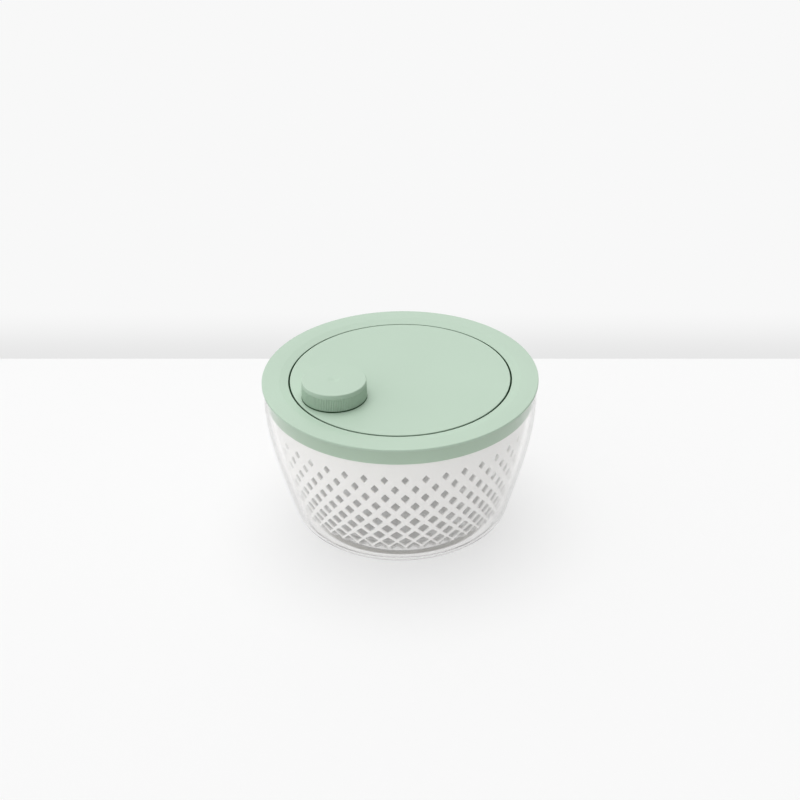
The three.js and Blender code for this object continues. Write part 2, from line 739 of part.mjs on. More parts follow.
const ringScrewLow = HOUSING_FLOOR + RING_LUG.height + 2 * GAP;
const spinner = new THREE.Group();
spinner.add(
  group("vessel", [
    ["bowl", "clear", bowl()],
    ["pivot_post", "natural", pivotPost()],
    ["foot_ring", "rubber", footRing()],
  ]),
  group("strainer", [
    ["basket", "white", basket()],
    ["basket_bush", "natural", basketBush()],
  ]),
  group("lid", [
    ["lid_ring", "green", lidRing()],
    ["gear_housing", "white", gearHousing()],
    ["ring_gear", "natural", ringGear()],
    ["centre_bearing", "natural", centreBearing()],
    ["glide_ring", "natural", glideRing()],
    ...numbered("lid_screw", "steel", lidScrewAt, (p) =>
      screw(LID_SCREW, LID_SCREW.low, HOUSING_TOP - HOUSING_WALL - GAP, p),
    ),
    ...numbered("ring_gear_screw", "steel", ringScrewAt, (p) =>
      screw(RING_SCREW, ringScrewLow, ringScrewLow + RING_SCREW.height, p),
    ),
  ]),
  group("crank", [
    ["crank_disc", "green", crankDisc()],
    ["planet_carrier", "natural", planetCarrier()],
    ...numbered("planet_pin", "steel", planetAt, planetPin),
    ...numbered("carrier_screw", "steel", carrierScrewAt, (p) =>
      screw(CARRIER_SCREW, CARRIER_SCREW.low, CARRIER.low - GAP, p),
    ),
    ["knob_spindle", "natural", knobSpindle()],
    ["knob_washer", "steel", knobWasher()],
    ["knob_screw", "steel", knobScrew()],
  ]),
  group("knob", [
    ["knob_cap", "green", knobCap()],
    ["knob_core", "natural", knobCore()],
  ]),
  group("planets", [
    ...numbered("planet_gear", "natural", planetAt, (p, i) => planetGear(p, PLANET_ANGLE + i * THIRD)),
  ]),
  group("drive", [
    ["sun_gear", "natural", sunGear()],
    ["drive_plate", "white", drivePlate()],
    ["drive_washer", "steel", driveWasher()],
    ["drive_screw", "steel", driveScrew()],
  ]),
);

export default spinner;
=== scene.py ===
"""Salad spinner, in metres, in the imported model's frame: +Z up, origin under the middle of the bowl.

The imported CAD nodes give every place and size. The pieces that can be seen are rebuilt here with fine
round surfaces, and each rides on its CAD body. Outlines are (radius, height) points in millimetres.
"""

import json
import math
from collections import namedtuple

import bmesh
import bpy
from mathutils import Matrix, Vector


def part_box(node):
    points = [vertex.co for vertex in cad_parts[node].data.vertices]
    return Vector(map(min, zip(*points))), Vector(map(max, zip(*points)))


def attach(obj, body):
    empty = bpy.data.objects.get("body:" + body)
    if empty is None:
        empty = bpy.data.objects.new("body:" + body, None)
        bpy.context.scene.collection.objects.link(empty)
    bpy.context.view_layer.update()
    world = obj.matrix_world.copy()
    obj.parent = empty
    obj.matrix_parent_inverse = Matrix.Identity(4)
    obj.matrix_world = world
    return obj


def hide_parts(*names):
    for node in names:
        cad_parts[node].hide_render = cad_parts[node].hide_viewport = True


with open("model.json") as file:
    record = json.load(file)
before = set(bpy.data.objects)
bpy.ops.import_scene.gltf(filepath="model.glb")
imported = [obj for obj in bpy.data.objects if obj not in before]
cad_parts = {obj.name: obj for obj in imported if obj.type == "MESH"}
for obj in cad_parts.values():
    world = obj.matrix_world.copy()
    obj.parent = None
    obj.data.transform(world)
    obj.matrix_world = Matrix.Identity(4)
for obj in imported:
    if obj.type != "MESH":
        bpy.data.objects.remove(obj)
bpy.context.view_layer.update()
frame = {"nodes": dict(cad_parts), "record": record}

MM = 0.001
FULL_TURN = 2 * math.pi


def corner(node, high):
    """A node's lowest or highest corner, in millimetres."""
    return Vector(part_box(node)[1 if high else 0]) / MM


def middle(node):
    return (corner(node, False) + corner(node, True)) / 2


LID_R = corner("lid_ring", True).x
LID_TOP = corner("lid_ring", True).z
LID_WALL = 2.2
FLANGE_LOW = 143.7
SKIRT_R = 125
SKIRT_LOW = 128.1
WELL_R = 105.1  # the opening that the crank disc turns in
LIP_R = 103.8  # the lip in it that keeps the disc down
LIP_LOW = 139
DISC_TOP = corner("crank_disc", True).z
DISC_R = 103.5
KNOB_LOW = corner("knob_cap", False).z
KNOB_TOP = corner("knob_cap", True).z
KNOB_AXIS = middle("knob_cap")
BOWL_TOP = corner("bowl", True).z
BOWL_WALL = 2.5
BOWL_FLOOR = 4.6
BASKET_TOP = corner("basket", True).z
BASKET_TOP_R = 121.2
BASKET_TAPER = 0.006  # the basket's wall falls inwards by TAPER * depth ** POWER
BASKET_POWER = 1.75
BASKET_WALL = 2.2
BASKET_UNDERSIDE = 16.8


# ---------- materials ----------
class Nodes:
    """A material's node tree, with short calls for the few nodes that the materials here share."""

    def __init__(self, name):
        self.material = bpy.data.materials.new(name)
        self.material.use_nodes = True
        self.tree = self.material.node_tree
        self.shader = self.tree.nodes["Principled BSDF"]
        self.output = self.tree.nodes["Material Output"]
        self.place = self.add("ShaderNodeTexCoord").outputs["Object"]

    def add(self, kind, **settings):
        node = self.tree.nodes.new(kind)
        for key, value in settings.items():
            setattr(node, key, value)
        return node

    def link(self, source, target):
        self.tree.links.new(source, target)

    def noise(self, scale, detail=3, roughness=0.5):
        node = self.add("ShaderNodeTexNoise")
        node.inputs["Scale"].default_value = scale
        node.inputs["Detail"].default_value = detail
        node.inputs["Roughness"].default_value = roughness
        self.link(self.place, node.inputs["Vector"])
        return node.outputs["Fac"]

    def ramp(self, source, low, high, start=0.3, end=0.7):
        """Source mapped from start..end to the numbers low..high, or to two colours."""
        if isinstance(low, tuple):
            node = self.add("ShaderNodeValToRGB")
            node.color_ramp.elements[0].position = start
            node.color_ramp.elements[1].position = end
            node.color_ramp.elements[0].color = (*low, 1)
            node.color_ramp.elements[1].color = (*high, 1)
            self.link(source, node.inputs["Fac"])
            return node.outputs["Color"]
        node = self.add("ShaderNodeMapRange")
        for key, value in zip(("From Min", "From Max", "To Min", "To Max"), (start, end, low, high)):
            node.inputs[key].default_value = value
        self.link(source, node.inputs["Value"])
        return node.outputs["Result"]

    def bump(self, height, distance, strength=1.0):
        node = self.add("ShaderNodeBump")
        node.inputs["Distance"].default_value = distance
        node.inputs["Strength"].default_value = strength
        self.link(height, node.inputs["Height"])
        self.link(node.outputs["Normal"], self.shader.inputs["Normal"])
        return node

    def radius(self, x=0.0, y=0.0):
        """The distance, in metres, from an upright axis."""
        flat = self.add("ShaderNodeVectorMath", operation="MULTIPLY_ADD")
        flat.inputs[1].default_value = (1, 1, 0)
        flat.inputs[2].default_value = (-x, -y, 0)
        self.link(self.place, flat.inputs[0])
        length = self.add("ShaderNodeVectorMath", operation="LENGTH")
        self.link(flat.outputs[0], length.inputs[0])
        return length.outputs["Value"]

    def height(self):
        """The height above the floor at rest, in metres."""
        parts = self.add("ShaderNodeSeparateXYZ")
        self.link(self.place, parts.inputs[0])
        return parts.outputs["Z"]

    def math(self, operation, a, b):
        node = self.add("ShaderNodeMath", operation=operation)
        for value, socket in zip((a, b), node.inputs):
            if isinstance(value, (int, float)):
                socket.default_value = value
            else:
                self.link(value, socket)
        return node.outputs[0]

    def shade(self, amount):
        """Multiplies the base colour by an amount, which may vary from place to place."""
        mix = self.add("ShaderNodeMix", data_type="RGBA", blend_type="MULTIPLY")
        mix.inputs["Factor"].default_value = 1
        color_a, color_b, color_out = mix.inputs[6], mix.inputs[7], mix.outputs[2]
        color = self.shader.inputs["Base Color"]
        self.link(color.links[0].from_socket, color_a)
        self.link(amount, color_b)
        self.link(color_out, color)

    def set(self, **values):
        for key, value in values.items():
            self.shader.inputs[key.replace("_", " ")].default_value = value


def moulded(name, color, spread, roughness, grain, grain_depth, **more):
    """Injection-moulded plastic: faintly cloudy colour, uneven gloss and a fine spark-eroded grain."""
    nodes = Nodes(name)
    low = tuple(c * (1 - spread) for c in color)
    high = tuple(min(1, c * (1 + spread)) for c in color)
    nodes.link(nodes.ramp(nodes.noise(9, 2), low, high), nodes.shader.inputs["Base Color"])
    gloss = nodes.ramp(nodes.noise(60, 4), roughness[0], roughness[1])
    nodes.link(gloss, nodes.shader.inputs["Roughness"])
    nodes.bump(nodes.noise(grain, 2, 0.6), grain_depth)
    nodes.set(**more)
    return nodes


# A ring-shaped place round an upright axis, in millimetres, and the colour it's multiplied by.
Shaded = namedtuple("Shaded", "x y inner outer top tint")
DEEP_SHADE = (0.09, 0.22, 0.11)
SKIRT_SHADE = (0.85, 0.93, 0.86)
FULL_LIGHT = (1, 1, 1)


def lid_plastic(places):
    """The lid's green plastic, darker in the narrow gaps between pieces, where shade gathers."""
    side_fade, top_fade = 0.3, 0.8
    nodes = moulded("lid_plastic", GREEN, 0.012, (0.42, 0.5), 2600, 0.00003, Specular_IOR_Level=0.4)
    for place in places:
        radius = nodes.radius(place.x * MM, place.y * MM)
        beyond = nodes.ramp(radius, 0, 1, (place.inner - side_fade) * MM, place.inner * MM)
        within = nodes.ramp(radius, 1, 0, place.outer * MM, (place.outer + side_fade) * MM)
        below = nodes.ramp(nodes.height(), 1, 0, (place.top - top_fade) * MM, place.top * MM)
        inside = nodes.math("MULTIPLY", nodes.math("MULTIPLY", beyond, within), below)
        nodes.shade(nodes.ramp(inside, FULL_LIGHT, place.tint, 0, 1))
    return nodes.material


BASKET_WHITE = (0.94, 0.935, 0.925)
# painted light: the basket's outer face glows faintly, though it is no lamp
BASKET_GLOW = 0.05
INSIDE_SHADE = 0.64
UNDERSIDE_SHADE = 0.55


def basket_plastic():
    """White plastic, darker underneath and on the inner face, which light reaches through the holes."""
    nodes = moulded("basket_plastic", BASKET_WHITE, 0.008, (0.38, 0.48), 1400, 0.00002)
    nodes.set(Subsurface_Weight=0.15, Subsurface_Radius=(1, 1, 1), Subsurface_Scale=0.002)
    height = nodes.height()
    fall = nodes.math("MAXIMUM", nodes.math("SUBTRACT", BASKET_TOP * MM, height), 0)
    bend = nodes.math("POWER", nodes.math("DIVIDE", fall, MM), BASKET_POWER)
    wall = nodes.math("SUBTRACT", BASKET_TOP_R * MM, nodes.math("MULTIPLY", bend, BASKET_TAPER * MM))
    depth = nodes.math("SUBTRACT", wall, nodes.radius())
    above_floor = nodes.ramp(height, 0, 1, 22 * MM, 28 * MM)
    below_band = nodes.ramp(height, 1, 0, 70 * MM, 115 * MM)
    inner = nodes.math("MULTIPLY", nodes.ramp(depth, 0, 1, 0.8 * MM, 2 * MM), above_floor)
    inner = nodes.math("MULTIPLY", inner, below_band)
    nodes.shade(nodes.ramp(inner, 1, INSIDE_SHADE, 0, 1))
    nodes.shade(nodes.ramp(height, UNDERSIDE_SHADE, 1, 17.2 * MM, 20.5 * MM))
    # painted light: a faint glow on the outer face, none on the inner face
    nodes.set(Emission_Color=(1, 0.995, 0.985, 1))
    nodes.link(nodes.ramp(inner, BASKET_GLOW, 0, 0, 1), nodes.shader.inputs["Emission Strength"])
    return nodes.material


def clear_plastic():
    """Clear polished plastic. Lamps reach through it, so what stands inside is lit."""
    nodes = Nodes("clear_plastic")
    nodes.set(Transmission_Weight=1.0, IOR=1.49, Base_Color=(0.995, 0.993, 0.988, 1))
    # painted light: the clear plastic glows faintly, though it is no lamp
    nodes.set(Emission_Color=(1, 1, 1, 1), Emission_Strength=0.01)
    nodes.link(nodes.ramp(nodes.noise(14, 3), 0.06, 0.09), nodes.shader.inputs["Roughness"])
    nodes.bump(nodes.noise(12, 1), 0.00001)
    through = nodes.add("ShaderNodeBsdfTransparent")
    through.inputs["Color"].default_value = (0.975, 0.973, 0.968, 1)
    path = nodes.add("ShaderNodeLightPath")
    either = nodes.math("MAXIMUM", path.outputs["Is Shadow Ray"], path.outputs["Is Diffuse Ray"])
    mix = nodes.add("ShaderNodeMixShader")
    nodes.link(either, mix.inputs["Fac"])
    nodes.link(nodes.shader.outputs["BSDF"], mix.inputs[1])
    nodes.link(through.outputs["BSDF"], mix.inputs[2])
    nodes.link(mix.outputs["Shader"], nodes.output.inputs["Surface"])
    return nodes.material


def turned_steel():
    nodes = Nodes("steel")
    nodes.set(Metallic=1.0)
    tint = nodes.ramp(nodes.noise(140, 3), (0.56, 0.57, 0.58), (0.68, 0.68, 0.69))
    nodes.link(tint, nodes.shader.inputs["Base Color"])
    nodes.link(nodes.ramp(nodes.noise(400, 2), 0.22, 0.4), nodes.shader.inputs["Roughness"])
    rings = nodes.add("ShaderNodeTexWave", wave_type="RINGS", rings_direction="Z")
    rings.inputs["Scale"].default_value = 900
    nodes.link(nodes.place, rings.inputs["Vector"])
    nodes.bump(rings.outputs["Fac"], 0.00001)
    return nodes.material


GREEN = (0.485, 0.625, 0.505)
LID_PLASTIC = lid_plastic(
    [
        Shaded(0, 0, 103.1, 105.5, DISC_TOP - 0.6, DEEP_SHADE),  # the groove round the disc
        Shaded(0, 0, 125.6, LID_R - 0.4, FLANGE_LOW + 0.8, DEEP_SHADE),  # under the flange
        Shaded(KNOB_AXIS.x, KNOB_AXIS.y, 0, 30.4, KNOB_LOW + 0.5, DEEP_SHADE),  # under the knob
        Shaded(0, 0, 122, SKIRT_R + 0.3, FLANGE_LOW + 0.5, SKIRT_SHADE),  # the skirt
    ]
)
BASKET_PLASTIC = basket_plastic()
WHITE_PLASTIC = moulded("white_plastic", (0.8, 0.8, 0.79), 0.01, (0.4, 0.55), 1400, 0.00003).material
NATURAL_PLASTIC = moulded("natural_plastic", (0.78, 0.76, 0.68), 0.02, (0.3, 0.42), 900, 0.00002).material
GRIP_RUBBER = moulded("grip_rubber", (0.74, 0.73, 0.7), 0.03, (0.6, 0.75), 1800, 0.00005).material
CLEAR_PLASTIC = clear_plastic()
STEEL = turned_steel()

SLOT_MATERIALS = {
    "lid_plastic": LID_PLASTIC,
    "basket_plastic": BASKET_PLASTIC,
    "white_plastic": WHITE_PLASTIC,
    "natural_plastic": NATURAL_PLASTIC,
    "grip_rubber": GRIP_RUBBER,
    "clear_plastic": CLEAR_PLASTIC,
    "steel": STEEL,
}
SLOT_OF_NODE = {s["node"]: s["material_slot"] for s in frame["record"]["subparts"]}


def finish_cad_nodes():
    """Gives every CAD node that stays in view the finished material of its slot."""
    for name, node in frame["nodes"].items():
        node.data.materials.clear()
        node.data.materials.append(SLOT_MATERIALS[SLOT_OF_NODE[name]])


# ---------- outlines ----------
def filleted(corners, steps=5):
    """(radius, height, fillet) corners as outline points, each fillet a round arc."""
    points = []
    for i, (r, z, fillet) in enumerate(corners):
        here = Vector((r, z))
        if not fillet:
            points.append(here)
            continue
        back = (Vector(corners[i - 1][:2]) - here).normalized()
        ahead = (Vector(corners[(i + 1) % len(corners)][:2]) - here).normalized()
        half = back.angle(ahead) / 2
        centre = here + (back + ahead).normalized() * fillet / math.sin(half)
        arm = here + back * fillet / math.tan(half) - centre
        last = here + ahead * fillet / math.tan(half) - centre
        sweep = math.copysign(math.pi - 2 * half, arm.cross(last))
        points += [centre + Matrix.Rotation(sweep * k / steps, 2) @ arm for k in range(steps + 1)]
    return points


def offset(points, distance):
    """The outline moved sideways, to the left of its direction, by distance."""
    moved = []
    for i, point in enumerate(points):
        along = (points[min(i + 1, len(points) - 1)] - points[max(i - 1, 0)]).normalized()
        moved.append(point + Vector((-along.y, along.x)) * distance)
    return moved


# ---------- meshes ----------
def finished(name, mesh, material):
    mesh.polygons.foreach_set("use_smooth", [True] * len(mesh.polygons))
    piece = bpy.data.objects.new(name, mesh)
    bpy.context.scene.collection.objects.link(piece)
    mesh.materials.clear()
    mesh.materials.append(material)
    normals = piece.modifiers.new("weighted_normals", "WEIGHTED_NORMAL")
    normals.keep_sharp = True
    return piece


def revolved(outline, sides, shape=None, axis=(0, 0), is_open=False):
    """A mesh turned from an outline that is closed, or open, or that starts and ends on the axis.

    Points run anticlockwise: bottom, outside, top, inside. shape(r, z, angle) may change a radius.
    """
    mesh = bpy.data.meshes.new("revolved")
    points, rows, faces = [], [], []
    for r, z in outline:
        if r < 1e-6:
            rows.append([len(points)] * sides)
            points.append((axis[0] * MM, axis[1] * MM, z * MM))
            continue
        rows.append(list(range(len(points), len(points) + sides)))
        for k in range(sides):
            angle = FULL_TURN * k / sides
            radius = shape(r, z, angle) if shape else r
            x, y = axis[0] + radius * math.cos(angle), axis[1] + radius * math.sin(angle)
            points.append((x * MM, y * MM, z * MM))
    if outline[0][0] > 1e-6 and not is_open:
        rows.append(rows[0])
    for low, high in zip(rows, rows[1:]):
        for k in range(sides):
            n = (k + 1) % sides
            face = [low[k], low[n], high[n], high[k]]
            faces.append(list(dict.fromkeys(face)))
    mesh.from_pydata(points, [], faces)
    return mesh


def plate(outlines, low, high, bevel):
    """A flat plate between two heights: the first outline is its edge, the rest are holes."""
    curve = bpy.data.curves.new("plate", "CURVE")
    curve.dimensions = "2D"
    curve.fill_mode = "BOTH"
    curve.extrude = ((high - low) / 2 - bevel) * MM
    curve.bevel_depth = bevel * MM
    curve.bevel_resolution = 2
    curve.offset = -bevel * MM
    for outline in outlines:
        spline = curve.splines.new("POLY")
        spline.points.add(len(outline) - 1)
        for point, (x, y) in zip(spline.points, outline):
            point.co = (x * MM, y * MM, 0, 1)
        spline.use_cyclic_u = True
    holder = bpy.data.objects.new("plate", curve)
    bpy.context.scene.collection.objects.link(holder)
    shown = holder.evaluated_get(bpy.context.evaluated_depsgraph_get())
    mesh = bpy.data.meshes.new_from_object(shown)
    mesh.transform(Matrix.Translation((0, 0, (low + high) / 2 * MM)))
    bpy.data.objects.remove(holder)
    return mesh


def block(size, centre, angle, bevel):
    """A bevelled block. Its first size lies along the radius at the angle."""
    made = bmesh.new()
    bmesh.ops.create_cube(made, size=1, matrix=Matrix.Diagonal((*size, 1)))
    bmesh.ops.bevel(made, geom=made.edges[:], offset=bevel, segments=3, profile=0.5, affect="EDGES")
    mesh = bpy.data.meshes.new("block")
    turn = Matrix.Rotation(angle, 4, "Z") @ Matrix.Translation(centre)
    made.transform(Matrix.Scale(MM, 4) @ turn)
    made.to_mesh(mesh)
    made.free()
    return mesh


def joined(meshes):
    whole = bmesh.new()
    for mesh in meshes:
        whole.from_mesh(mesh)
        bpy.data.meshes.remove(mesh)
    bmesh.ops.remove_doubles(whole, verts=whole.verts[:], dist=5e-6)
    mesh = bpy.data.meshes.new("joined")
    whole.to_mesh(mesh)
    whole.free()
    return mesh


def around(count, phase=0.0):
    return [phase + FULL_TURN * i / count for i in range(count)]


def circle(r, sides, x=0.0, y=0.0):
    return [(x + r * math.cos(a), y + r * math.sin(a)) for a in around(sides)]


def radial_slot(inner, outer, width, angle, steps=8):
    """A slot with round ends along the radius."""
    ends = []
    for middle_r, start in ((outer - width / 2, -90), (inner + width / 2, 90)):
        for k in range(steps + 1):
            a = math.radians(start + 180 * k / steps)
            ends.append(Vector((middle_r + width / 2 * math.cos(a), width / 2 * math.sin(a))))
    return [tuple(Matrix.Rotation(angle, 2) @ p) for p in ends]


def place(piece, body, *nodes):
    """The piece stands for the nodes and moves with the body."""
    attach(piece, body)
    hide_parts(*nodes)
    return piece


# ---------- bowl ----------
BOWL_BASE_R = 87.3
BOWL_BASE_Z = 0.6
BOWL_CORNER_R = 17
BOWL_SIDE_LOW = 13.5  # where the side's curve starts, at BOWL_SIDE_R
BOWL_SIDE_R = 103.7
BOWL_SPREAD = 24.3  # from there out to the rim
BOWL_CURVE = (1.526, 0.38, -0.9125)


def bowl_r(z):
    """The bowl's outer radius: it widens upwards and stands nearly upright at the rim."""
    rise = (z - BOWL_SIDE_LOW) / (BOWL_TOP - BOWL_SIDE_LOW)
    return BOWL_SIDE_R + BOWL_SPREAD * sum(share * rise ** (k + 1) for k, share in enumerate(BOWL_CURVE))


def make_bowl():
    steps = 48
    side = BOWL_TOP - 1.2 - BOWL_SIDE_LOW
    heights = [BOWL_SIDE_LOW + side * k / steps for k in range(steps + 1)]
    wall = [Vector((bowl_r(z), z)) for z in heights]
    turn = [
        Vector((math.sin(a), 1 - math.cos(a))) * BOWL_CORNER_R + Vector((BOWL_BASE_R, BOWL_BASE_Z))
        for a in (math.radians(5 + 8.5 * k) for k in range(8))
    ]
    outside = [Vector((BOWL_BASE_R, BOWL_BASE_Z)), *turn, *wall]
    inside = offset(outside, BOWL_WALL)
    inside = [p for p in inside if p.y > BOWL_FLOOR + 0.4]
    rim = [Vector((r, BOWL_TOP - drop)) for r, drop in ((127.6, 0.25), (126.8, 0), (126, 0.25))]
    foot = filleted(
        [(78.7, 1, 0.3), (78.7, 2.6, 0.3), (85.8, 2.6, 0.3), (85.8, BOWL_BASE_Z, 0.3)], 3
    )
    outline = [Vector((0, 1)), *foot, *outside, *rim, *reversed(inside)]
    outline += [Vector((BOWL_BASE_R - 2, BOWL_FLOOR)), Vector((0, BOWL_FLOOR))]
    return place(finished("clear_bowl", revolved(outline, 240), CLEAR_PLASTIC), "bowl", "bowl")


def make_foot_ring():
    low, high = corner("foot_ring", False), corner("foot_ring", True)
    outline = filleted([(79, low.z, 0.8), (high.x, low.z, 0.8), (high.x, high.z, 0.2), (79, high.z, 0.2)])
    return place(finished("grip_ring", revolved(outline, 160), GRIP_RUBBER), "bowl", "foot_ring")


def make_pivot():
    low, high = corner("pivot_post", False).z, corner("pivot_post", True).z
    outline = filleted(
        [(0, low, 0), (10, low, 0.3), (10, 7.4, 0.6), (4, 7.4, 0.8), (4, high, 2.4), (0, high, 0)]
    )
    return place(finished("pivot_turned", revolved(outline, 64), NATURAL_PLASTIC), "bowl", "pivot_post")


def make_bush():
    low, high = corner("basket_bush", False).z, corner("basket_bush", True).z
    outline = filleted(
        [
            (0, 20.9, 0),
            (4.5, 20.9, 1),
            (4.5, low, 0.5),
            (11.5, low, 0.6),
            (11.5, 13.7, 0.4),
            (7.8, 13.7, 0.3),
            (7.8, high, 1),
            (0, high, 0),
        ]
    )
    piece = finished("bush_turned", revolved(outline, 64), NATURAL_PLASTIC)
    return place(piece, "basket_bush", "basket_bush")


# ---------- basket ----------
COLUMNS = 40
ROWS = 10
SAMPLES = 24  # points round each hole
EDGE = 0.4  # rounding of the holes' edges
FIRST_ROW = 26.9  # from the rim, down the wall
ROW_PITCH = 11.0
HOLE_PHASE = math.radians(-88.5)
SQUARENESS = 2 / 1.12  # 2 / 1 is a sharp diamond, 2 / 2 an ellipse


def basket_r(z):
    return BASKET_TOP_R - BASKET_TAPER * (BASKET_TOP - z) ** BASKET_POWER


class Section:
    """The basket's outer outline from the rim down the wall, round the turn and along the floor."""

    def __init__(self):
        turn_top = BASKET_UNDERSIDE + 8
        wall = [Vector((basket_r(z), z)) for z in map(float, range(int(BASKET_TOP), int(turn_top), -1))]
        turn_r = basket_r(BASKET_UNDERSIDE)
        turn = filleted(
            [(*wall[-1], 0), (turn_r, BASKET_UNDERSIDE, 2), (70, BASKET_UNDERSIDE, 0)], 8
        )
        self.points = [*wall[:-1], *turn]
        self.lengths = [0.0]
        for a, b in zip(self.points, self.points[1:]):
            self.lengths.append(self.lengths[-1] + (b - a).length)
        self.normals = []
        last = len(self.points) - 1
        for i in range(last + 1):
            along = (self.points[min(i + 1, last)] - self.points[max(i - 1, 0)]).normalized()
            self.normals.append(Vector((-along.y, along.x)))

    def at(self, length, depth):
        """The point at a length down the outline and a depth below the surface."""
        i = max(1, next((k for k, s in enumerate(self.lengths) if s >= length), len(self.lengths) - 1))
        share = (length - self.lengths[i - 1]) / (self.lengths[i] - self.lengths[i - 1])
        point = self.points[i - 1].lerp(self.points[i], share)
        return point - self.normals[i - 1].lerp(self.normals[i], share) * depth


def lattice(section):
    """The wall of diamond holes, as one closed skin of the outside, the holes' edges and the inside."""
    made = bmesh.new()
    half_step = FULL_TURN / COLUMNS / 2
    known = {}

    def vertex(angle, length, depth):
        key = (round(angle % FULL_TURN, 6), round(length, 4), round(depth, 3))
        if key not in known:
            r, z = section.at(length, depth)
            known[key] = made.verts.new((r * math.cos(angle) * MM, r * math.sin(angle) * MM, z * MM))
        return known[key]

    def skin(ring, next_ring, closed=True):
        count = len(ring)
        for k in range(count if closed else count - 1):
            n = (k + 1) % count
            corners = list(dict.fromkeys((ring[k], next_ring[k], next_ring[n], ring[n])))
            if len(corners) > 2:
                made.faces.new(corners)

    first_r = section.at(FIRST_ROW, 0).x
    levels = [FIRST_ROW]
    for _ in range(ROWS):
        levels.append(levels[-1] + ROW_PITCH * (section.at(levels[-1], 0).x / first_r) ** 1.2)
    levels.insert(0, FIRST_ROW - ROW_PITCH)

    for row in range(ROWS):
        above, level, below = levels[row], levels[row + 1], levels[row + 2]
        share = row / (ROWS - 2)
        r = section.at(level, 0).x
        is_last = row == ROWS - 1
        width = half_step * (0.38 + 0.42 * share**1.25)
        height = (below - above) / 2 * (0.86 if is_last else 0.4 + 0.25 * share**0.85)
        for column in range(COLUMNS):
            middle_angle = HOLE_PHASE + half_step * (2 * column + row % 2)
            nodes = [
                (middle_angle + half_step, level),
                (middle_angle, above),
                (middle_angle - half_step, level),
                (middle_angle, below),
            ]

            def edge_point(k, nodes=nodes):
                quarter, step = divmod(k, SAMPLES // 4)
                f = step / (SAMPLES // 4)
                a, b = nodes[quarter], nodes[(quarter + 1) % 4]
                return a[0] + (b[0] - a[0]) * f, a[1] + (b[1] - a[1]) * f

            def hole_point(k, grow, middle_angle=middle_angle):
                phi = FULL_TURN * k / SAMPLES
                across = math.copysign(abs(math.cos(phi)) ** SQUARENESS, math.cos(phi))
                up = math.copysign(abs(math.sin(phi)) ** SQUARENESS, math.sin(phi))
                return (
                    middle_angle + across * (width + grow / r),
                    level - up * (height + grow),
                )

            def ring(depth, share_out, grow, edge_point=edge_point, hole_point=hole_point):
                points = []
                for k in range(SAMPLES):
                    (a, s), (b, t) = hole_point(k, grow), edge_point(k)
                    points.append(vertex(a + (b - a) * share_out, s + (t - s) * share_out, depth))
                return points

            outward = (1, 0.66, 0.33, 0) if row > ROWS - 3 else (1, 0.4, 0)
            rings = [ring(0, share_out, EDGE) for share_out in outward]
            for grow, depth in ((0.3, 0.3), (0, 1)):
                rings.append(ring(depth * EDGE, 0, grow * EDGE))
            for grow, depth in ((0, 1), (0.3, 0.3)):
                rings.append(ring(BASKET_WALL - depth * EDGE, 0, grow * EDGE))
            rings += [ring(BASKET_WALL, share_out, EDGE) for share_out in reversed(outward)]
            for a, b in zip(rings, rings[1:]):
                skin(a, b)

    steps = SAMPLES // 2
    top, bottom = [], []
    for column in range(COLUMNS):
        for k in range(steps):
            f = abs(k - steps / 2) / (steps / 2)
            angle = HOLE_PHASE + half_step * (2 * column - 1 + 2 * k / steps)
            top.append((angle, levels[0] + (levels[1] - levels[0]) * f))
            low_angle = angle + half_step * ((ROWS - 1) % 2)
            bottom.append((low_angle, levels[-1] + (levels[-2] - levels[-1]) * f))
    band, floor_edge = levels[0] - 2, levels[-1] + 1.5
    for zigzag, level, flip in ((top, band, False), (bottom, floor_edge, True)):
        for depth in (0, BASKET_WALL):
            edge = [vertex(a, s, depth) for a, s in zigzag]
            line = [vertex(a, level, depth) for a, _ in zigzag]
            skin(*((edge, line) if flip == bool(depth) else (line, edge)))
    mesh = bpy.data.meshes.new("lattice")
    bmesh.ops.remove_doubles(made, verts=made.verts[:], dist=2e-6)
    bmesh.ops.recalc_face_normals(made, faces=made.faces[:])
    made.to_mesh(mesh)
    made.free()
    return mesh, band, floor_edge


def make_basket():
    section = Section()
    wall, band, floor_edge = lattice(section)
    sides = COLUMNS * SAMPLES // 2
    rim_steps = [band * k / 6 for k in range(1, 7)]
    rim = [section.at(s, 0) for s in reversed(rim_steps)]
    rim += filleted(
        [
            (rim[-1].x + 0.02, rim[-1].y, 0),
            (BASKET_TOP_R, BASKET_TOP, 0.9),
            (BASKET_TOP_R - BASKET_WALL, BASKET_TOP, 0.9),
            (rim[-1].x - BASKET_WALL, rim[-1].y, 0),
        ]
    )[1:-1]
    rim += [section.at(s, BASKET_WALL) for s in rim_steps]
    floor_r = section.at(floor_edge, 0).x
    floor_top = BASKET_UNDERSIDE + BASKET_WALL
    slots = [radial_slot(38, 84, 7, a) for a in around(16)]
    floor = plate([circle(floor_r + 1, 240), circle(9, 48), *slots], BASKET_UNDERSIDE, floor_top, 0.4)
    hub = filleted(
        [
            (0, 24, 0),
            (8.1, 24, 0.8),
            (8.1, 14, 0.4),
            (11.5, 14, 0.5),
            (11.5, BASKET_UNDERSIDE + 0.2, 1),
            (14, BASKET_UNDERSIDE + 0.2, 0),
            (14, floor_top - 0.2, 0),
            (10.4, floor_top - 0.2, 1.5),
            (10.4, 25.4, 1.6),
            (0, 25.4, 0),
        ]
    )
    half, low, high = 0.9, floor_top - 0.5, floor_top + 1.2
    rings = []
    for r in (34, 86.6):
        bead = [(r - half, low, 0), (r + half, low, 0), (r + half, high, 0.7), (r - half, high, 0.7)]
        rings.append(revolved(filleted(bead), 160))
    ribs = [block((4.4, 3, 15), (117, 0, 123.5), angle, 0.8) for angle in around(8)]
    meshes = [wall, revolved(rim, sides, is_open=True), floor, revolved(hub, 96), *rings, *ribs]
    piece = finished("lattice_basket", joined(meshes), BASKET_PLASTIC)
    return place(piece, "basket", "basket")


